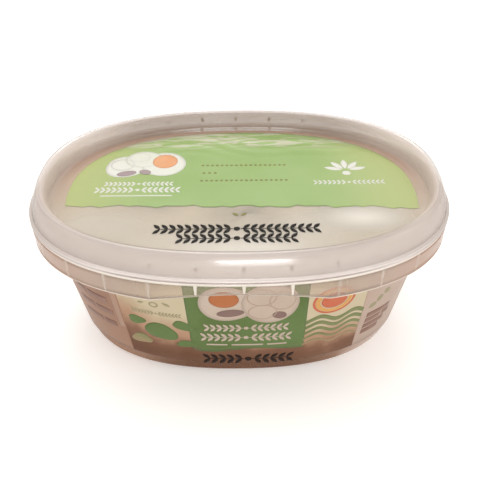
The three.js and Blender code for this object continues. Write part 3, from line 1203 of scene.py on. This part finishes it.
def greenInkMaterial():
    # leaf green, yellower towards the ends of the oval, with painted reflections in pale streaks where the
    # film creases at the back
    look = greenLook
    finish, tree, shader = newMaterial("filmGreenInk", look["roughness"])
    place = objectPlace(tree)
    parts = partsOf(tree, place)
    endways = mapRange(tree, arithmetic(tree, "ABSOLUTE", parts["X"]), look["endFrom"], look["endTo"])
    green = inkColour(tree, look["ink"], look["thinInk"])
    yellower = mixColours(tree, endways, green, look["endColour"])
    stretch = addNode(tree, "ShaderNodeMapping", Vector=place, Scale=look["creaseSize"])
    streaks = addNode(tree, "ShaderNodeTexNoise", Vector=stretch.outputs["Vector"], Scale=1.0, Detail=4.0,
                      Distortion=1.6)
    backward = mapRange(tree, parts["Y"], look["creaseFrom"], look["creaseTo"])
    streaky = mapRange(tree, streaks.outputs["Fac"], *look["creaseMask"], 0.0, look["creaseShare"])
    creaseReflection = arithmetic(tree, "MULTIPLY", backward, streaky)
    feedInputs(tree, shader, Base_Color=mixColours(tree, creaseReflection, yellower, look["creaseReflectionColour"]))
    addGrain(tree, shader, look["grainDepth"], look["waveDepth"])
    return finish


def printFilm():
    white = inkMaterial("filmWhiteInk", (238, 236, 226), (222, 226, 204))
    shade = inkMaterial("filmShadeInk", (214, 212, 202), (226, 224, 212))
    tomato = inkMaterial("filmTomatoInk", (232, 164, 116), (240, 186, 140))
    olive = inkMaterial("filmOliveInk", (170, 152, 152), (186, 170, 166))
    dark = inkMaterial("filmDarkInk", (14, 10, 4), (26, 21, 12), gloss=0.05)
    faint = inkMaterial("filmFaintInk", (150, 146, 84), (158, 160, 96), alpha=0.8)
    whites = []
    for degrees in (-76, -38, 0, 38, 76):
        a = math.radians(degrees)
        whites.append(leaf(44 + 5.2 * math.sin(a), 14 + 4.6 * math.cos(a), 7.5, 2.8, 90 - degrees))
    whites += [blob(44, 11.5, 3.6, 3.2)] + branch(44, 4.5, 28, 2.2, 0.9, 7)
    whites += branch(-40, 4.5, 27, 2.2, 0.9, 7) + branch(-40, 0, 33, 2.8, 1.15, 7)
    whites += [strip(-54, -26, -4.2, 0.4)]
    rounds = [blob(-48.5, 19.5, 10, 9, hole=0.9), blob(-42, 25.5, 9, 7.5, hole=0.9)]
    olives = [blob(-46, 12.5, 8, 4, 15), blob(-38.5, 13.5, 5, 3.6, -20)]
    darks = branch(-1, -26.3, 59, 3.8, 1.6, 10) + branch(-1, -32, 42, 3.8, 1.6, 7)
    faints = dots(2, 18.5, 36, 1.3, 18) + dots(-12, 12.5, 7, 1.3, 3) + dots(2, 6.5, 36, 1.3, 18)
    faints += [leaf(-1.4, -17.3, 3, 1.3, 140), leaf(1.6, -17.3, 3, 1.3, 40)]
    layPrints("seal_film", onFilm, [
        ("filmGreenField", greenInkMaterial(), 0.02, [greenField()]),
        ("filmWhitePrint", white, 0.05, whites),
        ("filmCloud0", white, 0.06, [blob(-47, 18, 17, 17, lumps=((3, 0.04, 0.5),))]),
        ("filmCloud1", white, 0.085, [blob(-31.5, 20, 18, 20, lumps=((2, 0.04, 0.2),))]),
        ("filmCloud2", white, 0.11, [blob(-40, 24, 16, 13)]),
        ("filmShadePrint", shade, 0.14, rounds),
        ("filmTomatoPrint", tomato, 0.14, [blob(-31, 22, 10.5, 11)]),
        ("filmOlivePrint", olive, 0.14, olives),
        ("filmDarkPrint", dark, 0.03, darks),
        ("filmFaintPrint", faint, 0.05, faints),
    ])


makeFilm()
printFilm()


# Label

labelShape = {
    "low": labelLow[2],
    "high": labelHigh[2],
    "gap": 0.3 * mm,
    "thickness": 0.4 * mm,
    "middle": 33.5 * mm,
    "longestRun": 3 * mm,
    "printFoot": labelLow[2] / mm + 0.3,
    "printTop": labelHigh[2] / mm - 0.6,
}
labelLook = {
    "roughness": 0.45,
    "gloss": 0.12,
    "grainDepth": 0.004 * mm,
    "waveDepth": 0.06 * mm,
    "blotchSize": 75.0,
    "blotchReach": 4.5 * mm,
    "left": (-46 * mm, -20 * mm, -7 * mm, 0),      # from and to along X, and what they add to the height
    "right": (8 * mm, 26 * mm, 0, 4.5 * mm),
    "creams": (colour(164, 128, 102), colour(184, 170, 142)),
    "creamHeights": (26 * mm, 40 * mm),
    # the brown band is painted shade, darker towards the bottom
    "shadeBrowns": (colour(99, 65, 45), colour(113, 78, 58)),
    "brownHeights": (8 * mm, 19 * mm),
    "edgeHeights": (17 * mm, 27 * mm),
}
labelMiddleInset = wallInset(labelShape["middle"])
labelPerimeter = perimeterAt(labelMiddleInset)


def onLabel(along, height, lift):
    # along over the perimeter is a share of the way round from the front; the leaning wall gives the inset
    turn = turnsAlong(along / labelPerimeter, labelMiddleInset)
    x, y = ovalXY(turn, wallInset(height) - labelShape["gap"] - labelShape["thickness"] - lift)
    return np.stack([x, y, height + 0 * x], -1)


def labelBaseMaterial():
    # cream print above, darker downwards, and a brown band of painted shade below, with a blotchy edge,
    # higher on the left and lower on the right
    look = labelLook
    finish, tree, shader = newMaterial("labelBase", look["roughness"], Specular_IOR_Level=look["gloss"])
    place = objectPlace(tree)
    parts = partsOf(tree, place)
    shift = blotchShift(tree, place, look["blotchSize"], 4.0, look["blotchReach"])
    bend = arithmetic(tree, "ADD", mapRange(tree, parts["X"], *look["left"]),
                      mapRange(tree, parts["X"], *look["right"]))
    height = arithmetic(tree, "ADD", arithmetic(tree, "ADD", parts["Z"], shift), bend)
    creams = mixColours(tree, mapRange(tree, height, *look["creamHeights"]), *look["creams"])
    shadeBrowns = mixColours(tree, mapRange(tree, height, *look["brownHeights"]), *look["shadeBrowns"])
    upper = mapRange(tree, height, *look["edgeHeights"])
    feedInputs(tree, shader, Base_Color=mixColours(tree, upper, shadeBrowns, creams))
    addGrain(tree, shader, look["grainDepth"], look["waveDepth"])
    return finish


def makeLabel():
    # a thin band off the wall: its profile is closed, so its last faces go back to its first row of points
    s = labelShape
    inner, outer = s["gap"], s["gap"] + s["thickness"]
    low, high = s["low"], s["high"]
    corners = [
        (wallInset(high) - inner, high, 0, 0),
        (wallInset(low) - inner, low, 0.15 * mm, 0),
        (wallInset(low) - outer, low, 0.15 * mm, 0),
        (wallInset(high) - outer, high, 0.15 * mm, 0),
        (wallInset(high) - inner, high, 0, 0),
    ]
    profile = refined(roundedProfile(corners, 2), s["longestRun"])[:-1]
    grid = sweep(profile, turnsAlong(aroundShares, labelMiddleInset))
    rows, steps = grid.shape[:2]
    label = fillMesh("label", grid.reshape(-1, 3), gridFaces(rows + 1, steps, True) % (rows * steps))
    return finishPiece(label, "label", labelBaseMaterial(), "label")


def makeLabelInks():
    return {
        "green": inkIntoShadeBand("labelGreenInk", (79, 96, 47), (96, 117, 68), (111, 75, 55), 14, 19, amount=0.6,
                           patchSize=30),
        "soft": inkIntoShadeBand("labelStripeInk", (98, 110, 64), (122, 124, 82), (156, 128, 98), 15, 26,
                          amount=0.7),
        # the left panel's ink is darker than the right panel's: painted shade on the left side
        "left": inkIntoShadeBand("labelLeftInk", (149, 113, 92), (132, 96, 77), (150, 115, 94), 14, 40, amount=0.8,
                          patchSize=60),
        "right": inkMaterial("labelPaleInk", (175, 154, 139), (162, 137, 122)),
        "margin": inkMaterial("labelMarginInk", (162, 132, 113), (154, 122, 102)),
        "white": inkMaterial("labelWhiteInk", (182, 165, 150), (171, 150, 133)),
        "shade": inkMaterial("labelShadeInk", (160, 137, 120), (167, 145, 128)),
        "tomato": inkMaterial("labelTomatoInk", (165, 98, 58), (160, 109, 73)),
        "red": inkMaterial("labelSealInk", (177, 86, 62), (184, 105, 73)),
        "olive": inkMaterial("labelOliveInk", (115, 92, 85), (128, 103, 94)),
        "yellow": inkMaterial("labelYellowInk", (199, 149, 86), (192, 141, 81)),
        "dark": inkMaterial("labelDarkInk", (28, 13, 5), (41, 23, 11), gloss=0.1),
        "grey": inkMaterial("labelGreyInk", (115, 81, 68), (139, 107, 92), amount=0.9),
        "faint": inkMaterial("labelFaintInk", (141, 133, 102), (150, 139, 109)),
    }


def printLabelFront(inks):
    foot, top = labelShape["printFoot"], labelShape["printTop"]
    field = panel(17.8, top, (-18.9, -18.7), (24.4, 22.4), ((0.8, 0.19, 0.6), (0.6, 0.083, 0)))
    blobs = [
        blob(-38.4, 31.8, 6.8, 5, 10, ((3, 0.12, 0.4),)),
        blob(-29.8, 26.8, 12.4, 10, -14, ((3, 0.06, 1.0), (2, 0.04, 0.3))),
        blob(-20.5, 31.6, 9, 5, -26, ((3, 0.12, 0.2),)),
        blob(-20.5, 20.6, 8.5, 4.2, 4, ((3, 0.12, 1.2),)),
    ]
    softs = wavyStripes(23.6, 46.4, 33.7) + [blob(-39, 20, 9, 5.6, 12, ((3, 0.14, 2.0),))]
    whites = branch(2, 31.8, 30, 2.9, 1.2, 6) + branch(2, 26, 33, 3.3, 1.3, 6)
    whites += bars(-13, 21.4, 2, [(8, -1.5, 12, -1.5, 7.5)], 0.9)
    olives = [blob(-3.5, 40.6, 9.5, 4, 8), blob(13.5, 39, 5, 4, -10)]
    rounds = [blob(7, 49, 10, 9, hole=0.92), blob(7.5, 41, 10, 8, hole=0.92), blob(14, 47, 9, 10, hole=0.92)]
    reds = [blob(32.4, 43.6, 15.6, 14.4, hole=0.88), blob(32.4, 43.6, 9.4, 8.4)]
    marks = branch(-30, 37.6, 18, 1.7, 0.6, 7) + [blob(-30, 42.6, 3.4, 3, hole=0.6)]
    marks += [leaf(-34.6, 43, 2.6, 1.2, 15), leaf(-25.4, 43.4, 3.4, 1.3, -30)]
    marks += [blob(50.5 + 2.7 * k, 33.2 + 2.6 * k, 3.6, 2.8, 30 + 50 * k) for k in range(3)]
    lines = bars(-66, 45, 7, [(9, -1, 7), (6, -1.2, 9.5), (8, -1, 8.5), (10, -1, 6)], 3)
    lines += bars(49.5, 27.5, 3.4, [(12,), (8, -0.8, 4), (11,), (9,)], 2.8)
    layPrints("label", onLabel, [
        ("labelLeftPanel", inks["left"], 0.01, [panel(foot, top, (-104, -104), (-45.2, -43.3), steps=80)]),
        ("labelRightPanel", inks["right"], 0.01, [panel(foot, top, (47.4, 44.2), (104, 104), steps=80)]),
        ("labelMargin", inks["margin"], 0.03, [panel(24, top, (-47.4, -46.6), (-45, -43.6), steps=6)]),
        ("labelGreenField", inks["green"], 0.015, [field]),
        ("labelBlobs", inks["green"], 0.022, blobs),
        ("labelStripes", inks["soft"], 0.022, softs),
        ("labelCloud0", inks["white"], 0.07, [blob(-4.5, 45.5, 20, 18.5, lumps=((3, 0.03, 0),))]),
        ("labelCloud1", inks["white"], 0.09, [blob(10, 45.5, 19.5, 21.5)]),
        ("labelWhitePrint", inks["white"], 0.07, whites),
        ("labelTomato", inks["tomato"], 0.12, [blob(-5.5, 48, 10, 8.5)]),
        ("labelOlives", inks["olive"], 0.12, olives),
        ("labelRounds", inks["shade"], 0.12, rounds),
        ("labelSealRed", inks["red"], 0.02, reds),
        ("labelSealYellow", inks["yellow"], 0.02, [blob(32.4, 43.6, 13.4, 12.4, hole=0.76)]),
        ("labelDarkPrint", inks["dark"], 0.03, branch(3, 11.8, 35, 4.2, 1.9, 5)),
        ("labelFaintPrint", inks["faint"], 0.03, marks),
        ("labelGreyPrint", inks["grey"], 0.03, lines),
    ])


def printLabelBack(inks):
    # the half that faces away: a green field between cream panels with rows of plain bars, blobs and stripes
    top = labelShape["printTop"]
    middle = labelPerimeter / 2 / mm
    field = panel(18.5, top, (middle - 27, middle - 25), (middle + 27, middle + 25),
                  ((1.1, 0.15, 0), (0.6, 0.083, 1)), steps=60)
    rows = [(20, -1.5, 14), (12, -1.5, 22), (26, -1.5, 9), (16, -1.5, 12)]
    whites = branch(middle, 48, 40, 3.3, 1.3, 7) + bars(middle - 18, 41, 4.2, rows, 1.3)
    blobs = []
    for side in (-1, 1):
        blobs += [blob(middle + side * 38, 40, 13, 10, 20 * side, ((3, 0.1, 1),)),
                  blob(middle + side * 47, 30.5, 9, 6.5, -15 * side, ((3, 0.12, 0.3),)),
                  blob(middle + side * 34, 29, 6, 4.6, 0, ((3, 0.12, 2),))]
    stripes = wavyStripes(104.5, 128, 46) + wavyStripes(-128, -104.5, 46)
    rows = [(11, -1, 8), (7, -1, 12), (14, -1, 5), (9, -1, 10), (12, -1, 6), (8,)]
    lines = bars(74, 50, 4.6, rows, 1.8) + bars(-96, 50, 4.6, rows, 1.8)
    layPrints("label", onLabel, [
        ("labelBackField", inks["green"], 0.015, [field]),
        ("labelBackWhitePrint", inks["white"], 0.07, whites),
        ("labelBackBlobs", inks["green"], 0.022, blobs),
        ("labelBackStripes", inks["soft"], 0.022, stripes),
        ("labelBackGreyPrint", inks["grey"], 0.03, lines),
        ("labelBackDarkPrint", inks["dark"], 0.03, branch(middle, 12.5, 35, 4.2, 1.9, 5)),
    ])


makeLabel()
labelInks = makeLabelInks()
printLabelFront(labelInks)
printLabelBack(labelInks)


# Floor, light and camera

stageLook = {
    "floorHalf": 1.6,
    "floorColour": colour(250, 248, 245),
    "floorGlow": 0.34,
    "worldColour": (1.0, 0.994, 0.988, 1),
    "worldStrength": 0.64,
    "lampAim": (0, 0, 0.04),
}
lamps = [
    {"name": "overhead", "place": (-0.15, 0.1, 0.9), "size": (0.8, 0.8), "power": 3},
    {"name": "frontLow", "place": (0.07, -0.9, 0.2), "size": (0.32, 0.1), "power": 2.4},
    {"name": "rightKey", "place": (0.75, -0.35, 0.4), "size": (0.4, 0.3), "power": 0.6},
    {"name": "backHigh", "place": (0.05, 0.7, 0.75), "size": (0.5, 0.1), "power": 1.6},
]
view = {
    "target": (0.2 * mm, 0, 36.1 * mm),
    "distance": 251.3 * mm,
    "pitch": 0.650,            # radians below the horizon
    "yaw": 0.0038,
    "roll": -0.0075,
    "lens": 45,
    "sensor": 36,
}


def makeStage():
    look = stageLook
    half = look["floorHalf"]
    corners = np.array([[-half, -half, 0], [half, -half, 0], [half, half, 0], [-half, half, 0]])
    floor = fillMesh("floor", corners, np.array([[0, 1, 2, 3]]))
    finish = newMaterial("paleFloor", 0.6, Base_Color=look["floorColour"], Emission_Color=look["floorColour"],
                         Emission_Strength=look["floorGlow"])[0]
    floor.data.materials.append(finish)
    world = bpy.data.worlds.new("softRoom")
    world.use_nodes = True
    feedInputs(world.node_tree, world.node_tree.nodes["Background"], Color=look["worldColour"],
               Strength=look["worldStrength"])
    bpy.context.scene.world = world
    for lamp in lamps:
        light = bpy.data.lights.new(lamp["name"], "AREA")
        light.shape = "RECTANGLE"
        light.size, light.size_y = lamp["size"]
        light.energy = lamp["power"]
        holder = bpy.data.objects.new(lamp["name"], light)
        holder.location = lamp["place"]
        towards = Vector(look["lampAim"]) - Vector(lamp["place"])
        holder.rotation_euler = towards.to_track_quat("-Z", "Y").to_euler()
        bpy.context.scene.collection.objects.link(holder)


def makeCamera():
    # looks at the target from the given distance; pitch tips it down, yaw turns it, roll leans it
    turn = Matrix.Rotation(-view["yaw"], 4, "Z") @ Matrix.Rotation(math.pi / 2 - view["pitch"], 4, "X")
    turn = turn @ Matrix.Rotation(view["roll"], 4, "Z")
    camera = bpy.data.cameras.new("camera")
    camera.lens = view["lens"]
    camera.sensor_width = view["sensor"]
    camera.clip_start = 0.01
    holder = bpy.data.objects.new("camera", camera)
    back = turn @ Vector((0, 0, view["distance"]))
    holder.matrix_world = Matrix.Translation(Vector(view["target"]) + back) @ turn
    bpy.context.scene.collection.objects.link(holder)
    bpy.context.scene.camera = holder


makeStage()
makeCamera()
bpy.context.scene.view_settings.view_transform = "Standard"
bpy.context.scene.cycles.transparent_max_bounces = 32
